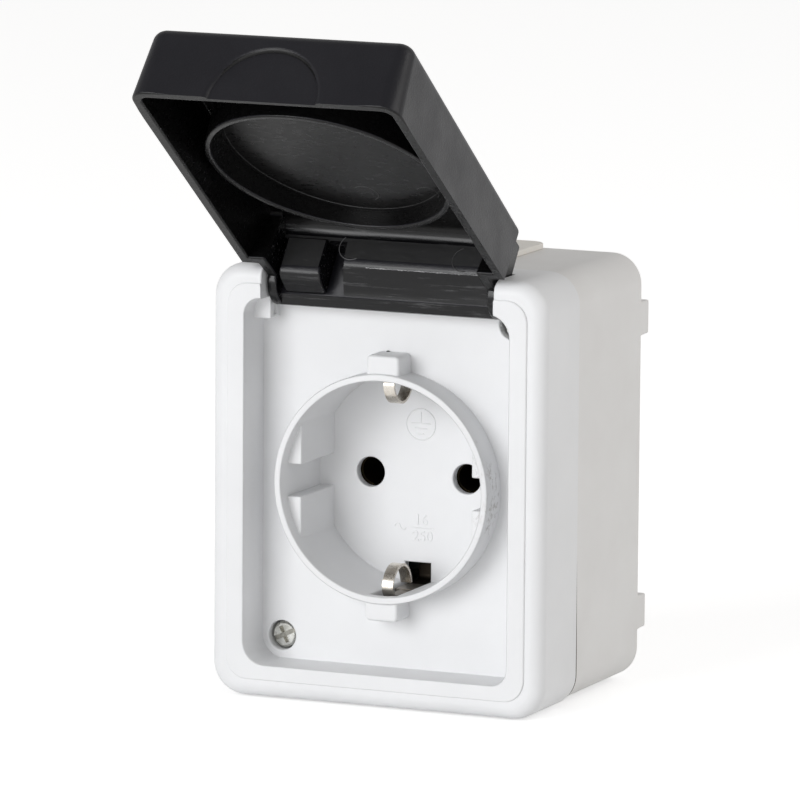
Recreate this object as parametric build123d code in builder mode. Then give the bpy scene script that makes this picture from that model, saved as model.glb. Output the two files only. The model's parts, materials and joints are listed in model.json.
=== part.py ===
from build123d import *
import os

os.makedirs("parts", exist_ok=True)

# Housing sizes in millimetres, with the wall plane at height zero and heights counted towards the front
cover_width = 65.0
cover_height = 79.0
cover_depth = 17.0
cover_corner = 6.0
cover_wall = 2.6
least_inner_corner = 0.5
front_round = 2.5
panel_border = 3.3
panel_step = 0.4
panel_corner = 4.0
panel_chamfer = 0.25
base_depth = 31.0
base_inset = 0.4
base_wall = 2.2
base_chamfer = 0.8
seam_gap = 0.2
foot_height = 3.1
foot_length = 12.0
foot_width = 6.2
foot_inset = 11.9
wall_hole_radius = 2.2

# Joint between base and cover
tongue_wall = 1.25
tongue_height = 2.0
tongue_clearance = 0.15
gasket_thickness = 1.5
gasket_clearance = 0.1

# Sunk panel of the cover
frame_side = 6.7
frame_end = 6.1
recess_depth = 8.7
recess_corner = 3.0
screw_corner = 4.2
recess_chamfer = 0.3
floor_wall = 2.2

# Plug well of a type F socket
well_radius = 19.6
well_depth = 17.5
well_floor_wall = 2.0
collar_wall = 1.3
collar_height = 6.3
collar_chamfer = 0.3
lug_width = 6.4
lug_reach = 24.2
lug_drop = 0.9
lug_corner = 0.9
lug_round = 0.6
guide_flat = 16.7
guide_slot = 5.9
guide_drop = 2.8
pin_pitch = 19.0
pin_hole_radius = 2.75

# Earth slots at the top and bottom of the well
earth_slot_width = 5.0
earth_slot_inner = 16.0
earth_slot_outer = 22.5
earth_slot_drop = 2.1

# Hinge
hinge_above_floor = 2.1
hinge_below_top = 3.3
ear_width = 3.2
barrel_radius = 4.5
barrel_clearance = 0.3
pivot_radius = 1.5
pivot_length = 2.6
pivot_clearance = 0.05
pivot_end_clearance = 0.4
pivot_groove_width = 1.3
pivot_groove_depth = 0.4
pivot_groove_stop = 0.7
pad_height = 4.2
pad_drop = 4.2
trough_wall = 1.8

# Lid, drawn with its rim parallel to the wall and then swung open
lid_open_angle = 123.0
lid_rise = 3.3
lid_wall = 1.8
lid_side_gap = 0.3
lid_end_gap = 0.5
lid_rim_gap = 0.5
lid_depth_free_end = 14.1
lid_depth_hinge_end = 12.2
lid_corner = 3.6
lid_edge_round = 2.2
lid_draft = 3.6
lid_inner_round = 0.8
lid_neck_gap = 0.3
lid_shoulder_drop = 8.8
lid_shoulder_slope = 2.3
lid_end_lift = 0.5
lid_end_round = 0.8
bar_drop = 5.2
bar_lip = 1.4
bar_lip_round = 2.5
bar_root_round = 3.0
bar_facet_back = 2.8
bar_facet_drop = 0.7
bar_ledge = 0.35
bar_back_rise = 1.2
knuckle_inset = 2.6
knuckle_width = 8.0
knuckle_proud = 0.6
knuckle_reach = 1.8
knuckle_length = 7.6
knuckle_round = 2.2
notch_width = 3.6
seal_ring_radius = 22.3
seal_ring_wall = 1.2
seal_ring_lug_gap = 1.2
seal_ring_depth_free_end = 7.2
seal_ring_depth_hinge_end = 3.2
thumb_radius = 11.8
thumb_depth = 0.7

# Cover screws and their seals
screw_left_from_side = 3.9
screw_left_from_end = 4.1
screw_right_from_side = 2.8
screw_right_from_end = 2.9
screw_head_radius = 2.4
screw_head_height = 2.0
screw_head_sink = 1.0
screw_head_clearance = 0.3
screw_head_chamfer = 0.4
screw_shank_radius = 1.5
screw_shank_clearance = 0.2
screw_thread_clearance = 0.1
screw_bite = 9.0
screw_slot_width = 0.8
screw_slot_depth = 0.9
screw_slot_turn = 25.0
screw_cross_length = 3.2
boss_wall = 1.7
boss_depth = 2.0
screw_seal_thickness = 0.8
screw_seal_clearance = 0.1

# Contact carrier and what it holds
carrier_width = 47.0
carrier_height = 37.0
carrier_corner = 5.0
carrier_standoff = 4.2
carrier_screw_x = 17.5
carrier_screw_z = 12.5
carrier_screw_head_radius = 2.8
carrier_screw_head_height = 2.0
carrier_screw_shank_radius = 1.25
carrier_screw_bite = 3.5
carrier_screw_seat = 3.5
carrier_pocket_clearance = 0.4
post_wall = 2.6
sleeve_inner_radius = 2.6
sleeve_wall = 0.7
sleeve_seat = 1.9
sleeve_clearance = 0.2
sleeve_slit = 0.8
sleeve_gap_to_well = 0.6
strip_thickness = 0.8
tab_width = 7.0
terminal_x = 17.0
terminal_overhang = 3.4
terminal_earth_z = 8.0
clamp_size = 6.4
clamp_thickness = 1.0
terminal_head_radius = 2.7
terminal_head_height = 1.5
terminal_head_gap = 0.9
terminal_shank_radius = 1.5
terminal_shank_length = 7.0
terminal_clearance = 0.1

# Earth strap with its two side clips
strap_width = 4.2
strap_leg = 20.4
strap_bend = 1.4
strap_tip_gap = 1.0
strap_pad_radius = 3.2
clip_width = 2.1
clip_thickness = 0.5
clip_leg = 6.0
clip_root = 2.0
clip_turn_radius = 2.0
clip_turn = 108.0
clip_length = 8.0
clip_tail = 1.0
clip_set_back = 0.9

# Cable entry on top of the base
entry_radius = 8.3
entry_clearance = 0.2
entry_flange_width = 26.8
entry_flange_depth = 23.5
entry_flange_thickness = 1.1
entry_flange_corner = 3.0
entry_flange_back = 0.2
entry_lip = 1.2
entry_lip_thickness = 1.0
entry_nipple_radius = 7.4
entry_nipple_height = 2.2
entry_nipple_taper = 20.0
entry_membrane = 0.8
entry_bore_radius = 5.4

# Heights above the wall
base_back = foot_height
base_floor = base_back + base_wall
seam_level = base_back + base_depth
ledge_level = seam_level - seam_gap
tongue_level = seam_level + tongue_height
gasket_level = tongue_level + gasket_thickness
front_level = seam_level + cover_depth
border_level = front_level - panel_step
floor_level = front_level - recess_depth
floor_back = floor_level - floor_wall
rim_level = floor_level + collar_height
well_level = rim_level - well_depth
well_back = well_level - well_floor_wall
lug_level = rim_level - lug_drop
hinge_level = floor_level + hinge_above_floor
lid_rim_level = floor_level + lid_rim_gap
seal_ring_level = lug_level + seal_ring_lug_gap

# Places across the front
hinge_z = cover_height / 2 - hinge_below_top
recess_width = cover_width - 2 * frame_side
recess_height = cover_height - 2 * frame_end
recess_side = recess_width / 2
recess_top = recess_height / 2
base_width = cover_width - 2 * base_inset
base_height = cover_height - 2 * base_inset
base_top = base_height / 2
base_inner_width = base_width - 2 * base_wall
base_inner_height = base_height - 2 * base_wall
base_corner = cover_corner - base_inset
collar_radius = well_radius + collar_wall
trough_radius = barrel_radius + barrel_clearance
screw_places = [
    (screw_left_from_side - recess_side, screw_left_from_end - recess_top),
    (recess_side - screw_right_from_side, recess_top - screw_right_from_end),
]
wall_hole_pitch_x = base_width - foot_length
wall_hole_pitch_z = base_height - 2 * foot_inset

# Views used as sketch planes: along the wall normal, and from the left side with height then Z
SIDE = Plane(origin=(0, 0, 0), x_dir=(0, -1, 0), z_dir=(-1, 0, 0))


def level(height):
    """Plane parallel to the wall and facing the front, at this height above the wall."""
    return Plane.XZ.offset(height)


def side(x):
    """Side-view plane moved to this X, with heights along its first axis and Z along its second."""
    return SIDE.offset(-x)


def keep(piece, name):
    """Label a finished piece and write it as its own file."""
    piece.label = name
    export_step(piece, f"parts/{name}.step")


# Base box with wall feet, screw towers, carrier posts and the cable opening
tower_level = floor_level - screw_head_sink - screw_head_height - screw_seal_thickness - boss_depth
tower_radius = screw_shank_radius + screw_thread_clearance + boss_wall
tongue_width = base_inner_width + 2 * tongue_wall
tongue_length = base_inner_height + 2 * tongue_wall
base_inner_corner = max(base_corner - base_wall, least_inner_corner)
tongue_corner = base_inner_corner + tongue_wall
entry_level = base_back + entry_flange_back + entry_flange_depth / 2
carrier_back = base_floor + carrier_standoff
post_radius = carrier_screw_shank_radius + post_wall
carrier_screw_places = [(-carrier_screw_x, carrier_screw_z), (carrier_screw_x, -carrier_screw_z)]

with BuildPart() as base_box:
    with BuildSketch(level(base_back)):
        RectangleRounded(base_width, base_height, base_corner)
    extrude(amount=base_depth - seam_gap)
    chamfer(base_box.faces().sort_by(Axis.Y)[-1].edges(), base_chamfer)
    with BuildSketch(level(ledge_level)):
        RectangleRounded(tongue_width, tongue_length, tongue_corner)
    extrude(amount=tongue_level - ledge_level)
    with BuildSketch(level(base_floor)):
        RectangleRounded(base_inner_width, base_inner_height, base_inner_corner)
    extrude(amount=tongue_level - base_floor, mode=Mode.SUBTRACT)
    with BuildSketch(level(0)):
        with GridLocations(wall_hole_pitch_x, wall_hole_pitch_z, 2, 2):
            Rectangle(foot_length, foot_width)
    extrude(amount=base_back + base_chamfer)
    with BuildSketch(level(base_floor)):
        with Locations(*screw_places):
            Circle(tower_radius)
    extrude(amount=tower_level - base_floor)
    with BuildSketch(level(base_floor)):
        with Locations(*carrier_screw_places):
            Circle(post_radius)
    extrude(amount=carrier_standoff)
    with BuildSketch(level(tower_level)):
        with Locations(*screw_places):
            Circle(screw_shank_radius + screw_thread_clearance)
    extrude(amount=-(screw_bite + screw_thread_clearance), mode=Mode.SUBTRACT)
    with BuildSketch(level(carrier_back)):
        with Locations(*carrier_screw_places):
            Circle(carrier_screw_shank_radius + screw_thread_clearance)
    extrude(amount=-(carrier_screw_bite + screw_thread_clearance), mode=Mode.SUBTRACT)
    with BuildSketch(level(0)):
        with GridLocations(wall_hole_pitch_x, wall_hole_pitch_z, 2, 2):
            Circle(wall_hole_radius)
    extrude(amount=base_floor, mode=Mode.SUBTRACT)
    with BuildSketch(Plane.XY.offset(base_top)):
        with Locations((0, -entry_level)):
            Circle(entry_radius)
    extrude(amount=-base_wall, mode=Mode.SUBTRACT)
keep(base_box.part, "base_box")

# Gasket lying on the tongue, under the cover's rebate
rebate_width = tongue_width + 2 * tongue_clearance
rebate_length = tongue_length + 2 * tongue_clearance
rebate_corner = tongue_corner + tongue_clearance

with BuildPart() as housing_gasket:
    with BuildSketch(level(tongue_level)):
        RectangleRounded(
            rebate_width - 2 * gasket_clearance,
            rebate_length - 2 * gasket_clearance,
            rebate_corner - gasket_clearance,
        )
        RectangleRounded(base_inner_width, base_inner_height, base_inner_corner, mode=Mode.SUBTRACT)
    extrude(amount=gasket_thickness)
keep(housing_gasket.part, "housing_gasket")

# Front cover with sunk panel, plug well, hinge ears and screw pockets
cover_inner_width = cover_width - 2 * cover_wall
cover_inner_height = cover_height - 2 * cover_wall
cover_inner_corner = max(cover_corner - cover_wall, least_inner_corner)
pocket_level = tower_level + boss_depth
pocket_radius = screw_head_radius + screw_head_clearance
boss_radius = pocket_radius + boss_wall
pad_top = recess_top + recess_corner
pad_bottom = recess_top - pad_drop
ear_side = recess_side - ear_width

with BuildPart() as front_cover:
    with BuildSketch(level(seam_level)):
        RectangleRounded(cover_width, cover_height, cover_corner)
    extrude(amount=border_level - seam_level)
    fillet(front_cover.faces().sort_by(Axis.Y)[0].edges(), front_round)
    with BuildSketch(level(border_level)):
        RectangleRounded(cover_width - 2 * panel_border, cover_height - 2 * panel_border, panel_corner)
    extrude(amount=panel_step)
    chamfer(front_cover.faces().sort_by(Axis.Y)[0].edges(), panel_chamfer)
    with BuildSketch(level(seam_level)):
        RectangleRounded(cover_inner_width, cover_inner_height, cover_inner_corner)
    extrude(amount=floor_back - seam_level, mode=Mode.SUBTRACT)
    with BuildSketch(level(seam_level)):
        RectangleRounded(rebate_width, rebate_length, rebate_corner)
    extrude(amount=gasket_level - seam_level, mode=Mode.SUBTRACT)
    with BuildSketch(level(front_level)) as recess:
        Rectangle(recess_width, recess_height)
        corners = recess.vertices().sort_by(lambda corner: corner.X + corner.Y)
        fillet([corners[0], corners[-1]], screw_corner)
        plain = recess.vertices().sort_by(lambda corner: corner.X - corner.Y)
        fillet([plain[0], plain[-1]], recess_corner)
    extrude(amount=-recess_depth, mode=Mode.SUBTRACT)
    chamfer(front_cover.faces().sort_by(Axis.Y)[0].inner_wires()[0].edges(), recess_chamfer)

    # Cup of the well, its collar and the two lugs around the earth slots
    with BuildSketch(level(well_back)):
        Circle(collar_radius)
    extrude(amount=rim_level - well_back)
    with BuildSketch(level(well_back)):
        RectangleRounded(lug_width, 2 * lug_reach, lug_corner)
    extrude(amount=lug_level - well_back)
    lug_rims = front_cover.edges().filter_by_position(Axis.Y, -lug_level, -lug_level)
    fillet(lug_rims.filter_by(Axis.X), lug_round)
    with BuildSketch(level(well_level)):
        Circle(well_radius)
    extrude(amount=rim_level - well_level, mode=Mode.SUBTRACT)
    rim_edges = front_cover.edges().filter_by_position(Axis.Y, -rim_level, -rim_level)
    chamfer(rim_edges.filter_by(GeomType.CIRCLE), collar_chamfer)
    with BuildSketch(level(well_level)):
        Circle(well_radius + collar_wall / 2)
        Rectangle(2 * guide_flat, 2 * collar_radius, mode=Mode.SUBTRACT)
        Rectangle(2 * collar_radius, guide_slot, mode=Mode.SUBTRACT)
    extrude(amount=rim_level - guide_drop - well_level)
    with BuildSketch(level(well_back)):
        slot_reach = earth_slot_outer - earth_slot_inner
        for way in (1, -1):
            with Locations((0, way * (earth_slot_inner + slot_reach / 2))):
                Rectangle(earth_slot_width, slot_reach)
    extrude(amount=rim_level - earth_slot_drop - well_back, mode=Mode.SUBTRACT)
    with BuildSketch(level(well_level)):
        with GridLocations(pin_pitch, 0, 2, 1):
            Circle(pin_hole_radius)
    extrude(amount=-well_floor_wall, mode=Mode.SUBTRACT)

    # Bosses behind the panel, pad under the left ear and the wall behind the hinge trough
    with BuildSketch(level(tower_level)):
        with Locations(*screw_places):
            Circle(boss_radius)
    extrude(amount=floor_back - tower_level)
    with BuildSketch(level(floor_back)):
        with Locations((-(recess_side + ear_side) / 2, (pad_top + pad_bottom) / 2)):
            Rectangle(ear_width, pad_top - pad_bottom)
    extrude(amount=floor_wall + pad_height)
    with BuildSketch(SIDE):
        trough_back = hinge_level - trough_radius - trough_wall
        trough_bottom = hinge_z - trough_radius - trough_wall
        with Locations((trough_back, trough_bottom)):
            Rectangle(
                floor_level - trough_back,
                cover_inner_height / 2 - trough_bottom,
                align=(Align.MIN, Align.MIN),
            )
    extrude(amount=ear_side + trough_wall, both=True)

    # Gap between the ears with the round trough that the lid's barrel turns in
    with BuildSketch(SIDE):
        with Locations((hinge_level, hinge_z)):
            Circle(trough_radius)
            Rectangle(cover_depth, trough_radius, align=(Align.MIN, Align.MAX))
            Rectangle(cover_depth, cover_height, align=(Align.MIN, Align.MIN))
    extrude(amount=ear_side, both=True, mode=Mode.SUBTRACT)
    with BuildSketch(SIDE):
        with Locations((hinge_level, hinge_z)):
            Circle(pivot_radius + pivot_clearance)
    extrude(amount=ear_side + pivot_length, both=True, mode=Mode.SUBTRACT)
    with BuildSketch(SIDE):
        groove_length = hinge_z - pad_bottom - pivot_groove_stop
        with Locations((hinge_level, hinge_z)):
            Rectangle(pivot_groove_width, groove_length, align=(Align.CENTER, Align.MAX))
    extrude(amount=ear_side + pivot_groove_depth, both=True, mode=Mode.SUBTRACT)

    # Pockets for the screw heads and clear holes for the shanks
    with BuildSketch(level(pocket_level)):
        with Locations(*screw_places):
            Circle(pocket_radius)
    extrude(amount=floor_level - pocket_level, mode=Mode.SUBTRACT)
    with BuildSketch(level(tower_level)):
        with Locations(*screw_places):
            Circle(screw_shank_radius + screw_shank_clearance)
    extrude(amount=boss_depth, mode=Mode.SUBTRACT)
keep(front_cover.part, "front_cover")

# Lid: a shallow cap with a narrower neck, whose barrel turns in the trough
lid_half = recess_side - lid_side_gap
lid_bottom = lid_end_gap - recess_top
lid_end = hinge_z + lid_end_lift
lid_length = lid_end - lid_bottom
neck_half = ear_side - lid_neck_gap
knuckle_left = neck_half - knuckle_inset
knuckle_right = knuckle_left - knuckle_width
knuckle_low = hinge_level - knuckle_reach
knuckle_top = knuckle_low + knuckle_length
shoulder_rim = hinge_z - lid_shoulder_drop
shoulder_face = shoulder_rim + lid_shoulder_slope
bar_z = hinge_z - bar_drop
facet_z = hinge_z - bar_facet_drop
facet_level = hinge_level - bar_facet_back
hinge_axis = Axis((0, -hinge_level, hinge_z), (1, 0, 0))


def lid_face(z):
    """Height of the lid's slightly tilted outer face above the wall at this Z."""
    run = (z - lid_bottom) / lid_length
    return lid_rim_level + lid_depth_free_end + run * (lid_depth_hinge_end - lid_depth_free_end)


def lid_inside(z):
    """Height of the inner face of the lid's front wall at this Z."""
    return lid_face(z) - lid_wall


with BuildPart() as lid_neck:
    with BuildSketch(SIDE):
        Polygon(
            (lid_rim_level, shoulder_rim),
            (lid_face(shoulder_rim), shoulder_rim),
            (lid_face(lid_end), lid_end),
            (hinge_level, lid_end),
            (lid_rim_level, hinge_z),
            align=None,
        )
        with Locations((hinge_level, hinge_z)):
            Circle(barrel_radius)
    extrude(amount=neck_half, both=True)
    neck_front = lid_neck.faces().sort_by(Axis.Y)[0]
    fillet(neck_front.edges().sort_by(Axis.Z)[1:], lid_end_round)

# Ring that closes around the collar, drawn shut and then turned to the lid as that is drawn
with BuildPart() as ring_bore:
    with BuildSketch(level(seal_ring_level)):
        Circle(seal_ring_radius - seal_ring_wall)
    extrude(amount=lid_depth_free_end)
    with BuildSketch(SIDE):
        Polygon(
            (seal_ring_level, -seal_ring_radius),
            (seal_ring_level + seal_ring_depth_free_end, -seal_ring_radius),
            (seal_ring_level + seal_ring_depth_hinge_end, seal_ring_radius),
            (seal_ring_level, seal_ring_radius),
            align=None,
        )
    extrude(amount=seal_ring_radius, both=True, mode=Mode.INTERSECT)

with BuildPart() as seal_ring:
    with BuildSketch(level(seal_ring_level)):
        Circle(seal_ring_radius)
    extrude(amount=lid_depth_free_end)
    add(ring_bore.part, mode=Mode.SUBTRACT)

with BuildPart() as lid_cavity:
    with BuildSketch(level(lid_rim_level)) as inner_rim:
        with Locations((0, lid_bottom + lid_wall)):
            Rectangle(2 * (lid_half - lid_wall), lid_length, align=(Align.CENTER, Align.MIN))
        fillet(inner_rim.vertices().group_by(Axis.Y)[0], max(lid_corner - lid_wall, lid_inner_round))
    extrude(amount=lid_depth_free_end, taper=lid_draft)
    with BuildSketch(SIDE):
        Polygon(
            (lid_rim_level, lid_bottom),
            (lid_inside(lid_bottom), lid_bottom),
            (lid_inside(shoulder_face - lid_wall), shoulder_face - lid_wall),
            (lid_rim_level, shoulder_rim - lid_wall),
            align=None,
        )
    extrude(amount=lid_half, both=True, mode=Mode.INTERSECT)
    cavity_top = lid_cavity.faces().sort_by(Axis.Y)[0]
    fillet(cavity_top.edges(), lid_inner_round)
    with BuildSketch(SIDE) as bar_profile:
        Polygon(
            (hinge_level - trough_radius, 0),
            (lid_inside(0), 0),
            (lid_inside(bar_z), bar_z),
            (hinge_level + bar_lip, bar_z),
            (facet_level, facet_z),
            (facet_level - bar_ledge, facet_z),
            (hinge_level - barrel_radius, hinge_z + bar_back_rise),
            (hinge_level - trough_radius, hinge_z + bar_back_rise),
            align=None,
        )
        lip = bar_profile.vertices().sort_by_distance((hinge_level + bar_lip, bar_z))[0]
        fillet(lip, bar_lip_round)
        root = bar_profile.vertices().sort_by_distance((lid_inside(bar_z), bar_z))[0]
        fillet(root, bar_root_round)
    extrude(amount=neck_half - lid_wall, both=True)
    add(seal_ring.part.rotate(hinge_axis, lid_rise), mode=Mode.SUBTRACT)

with BuildPart() as lid:
    with BuildSketch(level(lid_rim_level)) as outer_rim:
        with Locations((0, lid_bottom)):
            Rectangle(2 * lid_half, lid_length, align=(Align.CENTER, Align.MIN))
        fillet(outer_rim.vertices().group_by(Axis.Y)[0], lid_corner)
    extrude(amount=lid_depth_free_end, taper=lid_draft)
    with BuildSketch(SIDE):
        Polygon(
            (lid_rim_level, lid_bottom),
            (lid_face(lid_bottom), lid_bottom),
            (lid_face(shoulder_face), shoulder_face),
            (lid_rim_level, shoulder_rim),
            align=None,
        )
    extrude(amount=lid_half, both=True, mode=Mode.INTERSECT)
    cap_front = lid.faces().sort_by(Axis.Y)[0]
    fillet(cap_front.edges().sort_by(Axis.Z)[:-1], lid_edge_round)
    add(lid_neck.part)
    add(lid_cavity.part, mode=Mode.SUBTRACT)

    # Raised knuckle on the hinge bar and the notches beside it
    with BuildSketch(side(-knuckle_left)) as knuckle:
        Polygon(
            (knuckle_low, bar_z - knuckle_proud),
            (knuckle_top, bar_z - knuckle_proud),
            (knuckle_top, facet_z),
            (facet_level, facet_z),
            align=None,
        )
        fillet(knuckle.vertices().sort_by(Axis.Y)[:2].sort_by(Axis.X)[0], knuckle_round)
    extrude(amount=knuckle_right - knuckle_left)
    for start, width in (
        (-knuckle_right, notch_width),
        (lid_wall - neck_half, neck_half - lid_wall - knuckle_left),
    ):
        with BuildSketch(side(start)):
            Polygon(
                (facet_level, facet_z),
                (facet_level, bar_z - knuckle_proud),
                (knuckle_top, bar_z - knuckle_proud),
                (knuckle_top, facet_z),
                align=None,
            )
        extrude(amount=-width, mode=Mode.SUBTRACT)

    # Thumb recess in the free end, and the pivots
    with BuildSketch(Plane.XY.offset(lid_bottom)):
        with Locations((0, -lid_rim_level)):
            Circle(thumb_radius)
    extrude(amount=thumb_depth, mode=Mode.SUBTRACT)
    for way in (1, -1):
        with BuildSketch(side(way * (neck_half - lid_wall))):
            with Locations((hinge_level, hinge_z)):
                Circle(pivot_radius)
        extrude(amount=-way * (lid_wall + lid_neck_gap + pivot_length - pivot_end_clearance))
keep(lid.part.rotate(hinge_axis, -(lid_open_angle + lid_rise)), "lid")

# Cover screws with their drive recess, and the seal ring under each head
head_top = floor_level - screw_head_sink
head_seat = pocket_level + screw_seal_thickness


def cover_screw(place):
    """Screw that holds the cover to a tower of the base."""
    with BuildPart() as screw:
        with BuildSketch(level(head_seat)):
            with Locations(place):
                Circle(screw_head_radius)
        extrude(amount=screw_head_height)
        chamfer(screw.edges().filter_by(GeomType.CIRCLE).sort_by(Axis.Y)[0], screw_head_chamfer)
        with BuildSketch(level(head_seat)):
            with Locations(place):
                Circle(screw_shank_radius)
        extrude(amount=tower_level - screw_bite - head_seat)
        with BuildSketch(level(head_top)):
            with Locations(place):
                Rectangle(2 * screw_head_radius, screw_slot_width, rotation=screw_slot_turn)
                Rectangle(screw_cross_length, screw_slot_width, rotation=screw_slot_turn + 90)
        extrude(amount=-screw_slot_depth, mode=Mode.SUBTRACT)
    return screw.part


def screw_seal(place):
    """Rubber ring between a screw head and the bottom of its pocket."""
    with BuildPart() as ring:
        with BuildSketch(level(pocket_level)):
            with Locations(place):
                Circle(pocket_radius - screw_seal_clearance)
                Circle(screw_shank_radius + screw_seal_clearance, mode=Mode.SUBTRACT)
        extrude(amount=screw_seal_thickness)
    return ring.part


for place, corner in zip(screw_places, ("lower_left", "upper_right")):
    keep(cover_screw(place), f"cover_screw_{corner}")
    keep(screw_seal(place), f"cover_screw_seal_{corner}")

# Insulating carrier on the posts of the base
terminal_top = well_back - terminal_head_gap
clamp_front = terminal_top - terminal_head_height
strip_front = clamp_front - clamp_thickness
carrier_front = strip_front - strip_thickness
carrier_seat = carrier_back + carrier_screw_seat
sleeve_radius = sleeve_inner_radius + sleeve_wall
sleeve_front = well_back - sleeve_gap_to_well
sleeve_back = carrier_back + sleeve_seat
sleeve_length = sleeve_front - sleeve_back
terminal_places = {"left": (-terminal_x, 0), "right": (terminal_x, 0), "earth": (0, terminal_earth_z)}
terminal_hole_radius = terminal_shank_radius + terminal_clearance

with BuildPart() as contact_carrier:
    with BuildSketch(level(carrier_back)):
        RectangleRounded(carrier_width, carrier_height, carrier_corner)
    extrude(amount=carrier_front - carrier_back)
    with BuildSketch(level(carrier_front)):
        with GridLocations(pin_pitch, 0, 2, 1):
            Circle(sleeve_radius + sleeve_clearance)
    extrude(amount=sleeve_back - carrier_front, mode=Mode.SUBTRACT)
    with BuildSketch(level(carrier_front)):
        with Locations(*terminal_places.values()):
            Circle(terminal_hole_radius)
    extrude(amount=clamp_front - carrier_front - terminal_shank_length, mode=Mode.SUBTRACT)
    with BuildSketch(level(carrier_front)):
        with Locations(*carrier_screw_places):
            Circle(carrier_screw_head_radius + carrier_pocket_clearance)
    extrude(amount=carrier_seat - carrier_front, mode=Mode.SUBTRACT)
    with BuildSketch(level(carrier_back)):
        with Locations(*carrier_screw_places):
            Circle(carrier_screw_shank_radius + carrier_pocket_clearance)
    extrude(amount=carrier_screw_seat, mode=Mode.SUBTRACT)
keep(contact_carrier.part, "contact_carrier")


def pin_contact(way):
    """Split sleeve for a plug pin with the tab that leads out to its terminal."""
    sleeve_x = way * pin_pitch / 2
    tab_end = way * (terminal_x + terminal_overhang)
    with BuildPart() as contact:
        with BuildSketch(level(sleeve_back)):
            with Locations((sleeve_x, 0)):
                Circle(sleeve_radius)
        extrude(amount=sleeve_length)
        with BuildSketch(level(carrier_front)):
            with Locations(((sleeve_x + tab_end) / 2, 0)):
                Rectangle(abs(tab_end - sleeve_x), tab_width)
            with Locations((way * terminal_x, 0)):
                Circle(terminal_hole_radius, mode=Mode.SUBTRACT)
        extrude(amount=strip_thickness)
        with BuildSketch(level(sleeve_back)):
            with Locations((sleeve_x, 0)):
                Circle(sleeve_inner_radius)
        extrude(amount=sleeve_length, mode=Mode.SUBTRACT)
        with BuildSketch(level(sleeve_front)):
            with Locations((sleeve_x, 0)):
                Rectangle(sleeve_slit, 2 * sleeve_radius)
        extrude(amount=strip_front - sleeve_front, mode=Mode.SUBTRACT)
    return contact.part


def clamp_plate(place):
    """Square washer that presses a wire onto its terminal."""
    with BuildPart() as plate:
        with BuildSketch(level(strip_front)):
            with Locations(place):
                Rectangle(clamp_size, clamp_size)
                Circle(terminal_hole_radius, mode=Mode.SUBTRACT)
        extrude(amount=clamp_thickness)
    return plate.part


def slotted_screw(place, seat, head_radius, head_height, shank_radius, shank_length):
    """Plain slotted screw whose head sits on a level and whose shank points to the wall."""
    with BuildPart() as screw:
        with BuildSketch(level(seat)):
            with Locations(place):
                Circle(head_radius)
        extrude(amount=head_height)
        with BuildSketch(level(seat)):
            with Locations(place):
                Circle(shank_radius)
        extrude(amount=-shank_length)
        with BuildSketch(level(seat + head_height)):
            with Locations(place):
                Rectangle(2 * head_radius, screw_slot_width)
        extrude(amount=-screw_slot_depth, mode=Mode.SUBTRACT)
    return screw.part


for way, name in ((-1, "left"), (1, "right")):
    keep(pin_contact(way), f"contact_{name}")
for name, place in terminal_places.items():
    keep(clamp_plate(place), f"clamp_plate_{name}")
    terminal_screw = slotted_screw(
        place,
        clamp_front,
        terminal_head_radius,
        terminal_head_height,
        terminal_shank_radius,
        terminal_shank_length,
    )
    keep(terminal_screw, f"terminal_screw_{name}")
for place, name in zip(carrier_screw_places, ("left", "right")):
    carrier_screw = slotted_screw(
        place,
        carrier_seat,
        carrier_screw_head_radius,
        carrier_screw_head_height,
        carrier_screw_shank_radius,
        carrier_screw_seat + carrier_screw_bite,
    )
    keep(carrier_screw, f"carrier_screw_{name}")

# Earth strap: one strip across the carrier, up both slots and back down in two spring clips
leaf_tip = rim_level - earth_slot_drop - strap_tip_gap
strap_level = carrier_front + strip_thickness / 2
clip_turn_level = leaf_tip - clip_set_back - clip_turn_radius
leg_tip = clip_turn_level - clip_leg

with BuildPart() as earth_strap:
    with BuildSketch(SIDE):
        with BuildLine():
            FilletPolyline(
                (leg_tip, strap_leg),
                (strap_level, strap_leg),
                (strap_level, -strap_leg),
                (leg_tip, -strap_leg),
                radius=strap_bend,
            )
        trace(line_width=strip_thickness)
    extrude(amount=strap_width / 2, both=True)
    with BuildSketch(level(carrier_front)):
        with Locations(terminal_places["earth"]):
            Circle(strap_pad_radius)
    extrude(amount=strip_thickness)
    with BuildSketch(level(carrier_front)):
        with Locations(terminal_places["earth"]):
            Circle(terminal_hole_radius)
    extrude(amount=strip_thickness, mode=Mode.SUBTRACT)
    for way in (1, -1):
        with BuildSketch(SIDE):
            with BuildLine():
                leg = Line((leg_tip - clip_root, way * strap_leg), (clip_turn_level, way * strap_leg))
                turn = JernArc(leg @ 1, leg % 1, clip_turn_radius, -way * clip_turn)
                arch_end = (turn @ 1) - (clip_length, 0)
                arch = TangentArc(turn @ 1, arch_end, tangent=turn % 1)
                Line(arch @ 1, arch @ 1 + clip_tail * (arch % 1))
            trace(line_width=clip_thickness)
        extrude(amount=clip_width / 2, both=True)
keep(earth_strap.part, "earth_strap")

# Soft cable entry: flange on the base's top, neck through its wall and a closed membrane
lip_top = base_top - base_wall

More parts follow.
